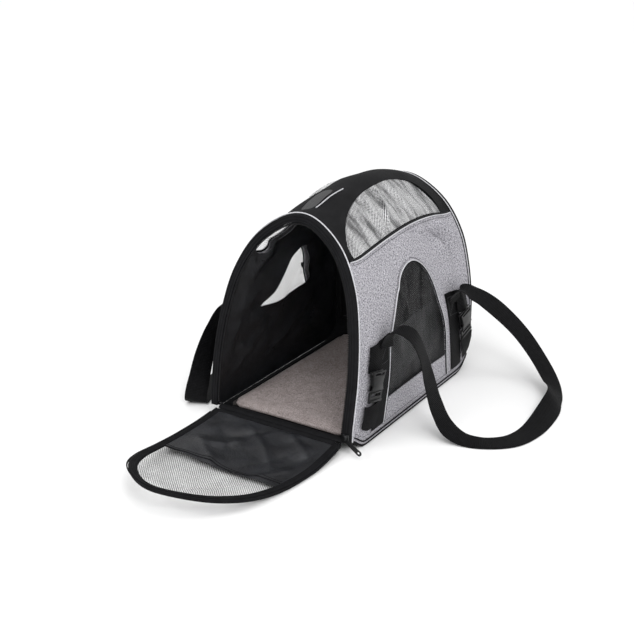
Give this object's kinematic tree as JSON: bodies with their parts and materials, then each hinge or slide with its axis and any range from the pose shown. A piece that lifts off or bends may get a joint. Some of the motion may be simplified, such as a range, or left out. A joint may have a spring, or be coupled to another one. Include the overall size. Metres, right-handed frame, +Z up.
{
  "type": "pet carrier bag",
  "caption": "Soft-sided arched pet carrier with an open zipped mesh door, mesh windows, side clips, a fleece base pad and carry handles lying beside it.",
  "frame": {"origin": "middle of the base's underside, where it rests on the floor", "axes": "+Z up, -Y out of the open front mouth, +X to the side with the front zip's end"},
  "size_m": [0.6165, 0.7455, 0.3753],
  "materials": {
    "grey_fabric": "heather grey woven polyester, matt",
    "black_fabric": "black woven polyester, matt",
    "black_satin": "thin coated black polyester, soft sheen",
    "mesh": "open black net",
    "felt": "short taupe fleece",
    "board": "stiff fibre board",
    "reflective": "pale grey cord",
    "webbing": "ribbed black webbing",
    "black_plastic": "moulded black plastic",
    "zip_metal": "black painted metal"
  },
  "bodies": {
    "bag": {"right_side_panel": "grey_fabric", "right_side_mesh": "mesh", "right_pocket_base": "grey_fabric", "right_roof_window": "mesh", "right_top_piping": "reflective", "right_bottom_piping": "black_fabric", "right_arch_piping": "reflective", "left_side_panel": "grey_fabric", "left_side_mesh": "mesh", "left_pocket_base": "grey_fabric", "left_roof_window": "mesh", "left_top_piping": "reflective", "left_bottom_piping": "black_fabric", "left_arch_piping": "reflective", "roof_panel": "black_fabric", "ridge_vent_mesh": "mesh", "ridge_vent_piping": "reflective", "cabin_lining": "black_satin", "bottom_panel": "grey_fabric", "base_board": "board", "base_pad": "felt", "front_threshold": "black_fabric", "front_ring": "black_fabric", "front_piping": "reflective", "front_zip_body": "black_fabric", "rear_ring": "black_fabric", "rear_piping": "reflective", "rear_zip_body": "black_fabric", "right_front_anchor": "webbing", "right_front_clip_strap": "webbing", "right_front_clip_female": "black_plastic", "right_rear_anchor": "webbing", "right_rear_clip_strap": "webbing", "right_rear_clip_female": "black_plastic", "left_front_anchor": "webbing", "left_front_clip_strap": "webbing", "left_front_clip_female": "black_plastic", "left_rear_anchor": "webbing", "left_rear_clip_strap": "webbing", "left_rear_clip_female": "black_plastic"},
    "front_door": {"door_binding": "black_fabric", "door_fabric": "black_satin", "door_mesh": "mesh", "front_zip_door": "black_fabric"},
    "rear_door": {"rear_door_binding": "black_fabric", "rear_door_panel": "black_fabric"},
    "front_zip": {"front_zip_slider": "zip_metal"},
    "front_pull": {"front_pull_tab": "black_plastic"},
    "rear_zip": {"rear_zip_slider": "zip_metal"},
    "rear_pull": {"rear_pull_tab": "black_plastic"},
    "right_front_clip": {"right_front_clip_male": "black_plastic", "right_front_clip_tail": "webbing"},
    "right_rear_clip": {"right_rear_clip_male": "black_plastic", "right_rear_clip_tail": "webbing"},
    "right_grip": {"right_handle": "webbing"},
    "left_front_clip": {"left_front_clip_male": "black_plastic", "left_front_clip_tail": "webbing"},
    "left_rear_clip": {"left_rear_clip_male": "black_plastic", "left_rear_clip_tail": "webbing"},
    "left_grip": {"left_handle": "webbing"}
  },
  "joints": [
    {"name": "front_door_hinge", "type": "hinge", "parent": "bag", "child": "front_door", "pos_m": [0, -0.22, 0.016], "axis": [-1, 0, 0], "range_deg": [0, 95]},
    {"name": "rear_door_hinge", "type": "hinge", "parent": "bag", "child": "rear_door", "pos_m": [0, 0.2085, 0.0465], "axis": [-1, 0, 0], "range_deg": [0, 95]},
    {"name": "front_zip_slide", "type": "slide", "parent": "bag", "child": "front_zip", "axis": [0, 0.13, 0.9915], "range_m": [0, 0.07]},
    {"name": "front_pull_hinge", "type": "hinge", "parent": "front_zip", "child": "front_pull", "pos_m": [0.1319, -0.2258, 0.0288], "axis": [0, -1, 0], "range_deg": [0, 110]},
    {"name": "rear_zip_slide", "type": "slide", "parent": "bag", "child": "rear_zip", "axis": [0.11, 0.02, -0.9937], "range_m": [0, 0.045]},
    {"name": "rear_pull_hinge", "type": "hinge", "parent": "rear_zip", "child": "rear_pull", "pos_m": [0.1224, 0.2126, 0.2008], "axis": [0, -1, 0], "range_deg": [0, 85]},
    {"name": "right_handle_hinge", "type": "hinge", "parent": "bag", "child": "right_grip", "pos_m": [0.151, 0, 0.168], "axis": [0, -1, 0], "range_deg": [0, 95]},
    {"name": "right_front_clip_slide", "type": "slide", "parent": "bag", "child": "right_front_clip", "axis": [0, -0.2288, -0.9735], "range_m": [0, 0.022]},
    {"name": "right_rear_clip_slide", "type": "slide", "parent": "bag", "child": "right_rear_clip", "axis": [0, 0.2288, -0.9735], "range_m": [0, 0.022]},
    {"name": "left_handle_hinge", "type": "hinge", "parent": "bag", "child": "left_grip", "pos_m": [-0.151, 0, 0.168], "axis": [0, 1, 0], "range_deg": [0, 95]},
    {"name": "left_front_clip_slide", "type": "slide", "parent": "bag", "child": "left_front_clip", "axis": [0, -0.2288, -0.9735], "range_m": [0, 0.022]},
    {"name": "left_rear_clip_slide", "type": "slide", "parent": "bag", "child": "left_rear_clip", "axis": [0, 0.2288, -0.9735], "range_m": [0, 0.022]}
  ]
}
